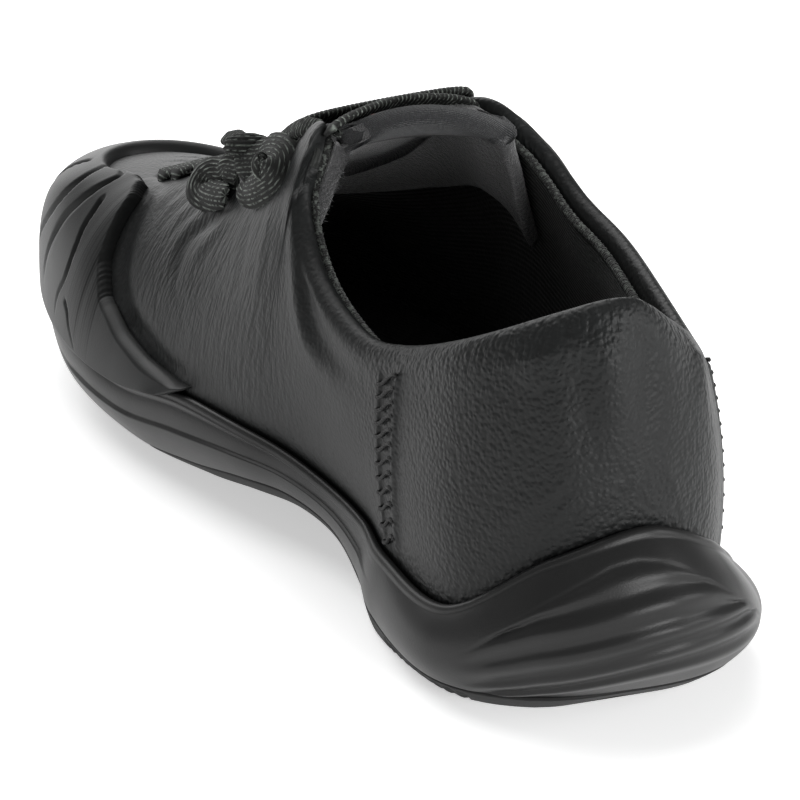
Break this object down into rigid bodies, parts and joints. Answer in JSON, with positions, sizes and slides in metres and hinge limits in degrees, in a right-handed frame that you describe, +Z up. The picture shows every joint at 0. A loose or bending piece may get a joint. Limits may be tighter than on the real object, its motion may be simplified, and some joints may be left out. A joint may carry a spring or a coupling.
{
  "type": "low-top sneaker",
  "caption": "Low-top lace-up leather sneaker with a grooved rubber toe cap, a padded collar, a knitted lace and a moulded cup sole, for the right foot.",
  "frame": {"origin": "middle of the shoe's box, without the free lace, on the floor", "axes": "+X to the toe, +Y to the wearer's left (the medial side of this right shoe), +Z up"},
  "size_m": [0.2738, 0.1, 0.1019],
  "materials": {
    "tread_rubber": "matt black moulded tread rubber",
    "sole_rubber": "satin black moulded rubber",
    "leather": "black pebbled leather with a soft sheen",
    "foot_bed": "black cloth over foam",
    "tongue_fleece": "charcoal brushed lining",
    "cap_rubber": "satin black moulded rubber",
    "knit_lace": "charcoal knitted lace with light flecks"
  },
  "bodies": {
    "root": {"outsole": "tread_rubber", "midsole": "sole_rubber", "upper": "leather", "insole": "foot_bed", "tongue": "tongue_fleece", "toe_cap": "cap_rubber", "lace_bar_1": "knit_lace", "lace_bar_2": "knit_lace", "lace_bar_3": "knit_lace", "lace_bar_4": "knit_lace", "lace_bar_5": "knit_lace", "lace_bar_6": "knit_lace", "lace_bar_7": "knit_lace", "lace_knot": "knit_lace", "lace_heel_loop": "knit_lace", "lace_toe_loop": "knit_lace", "lace_end": "knit_lace"}
  },
  "joints": []
}
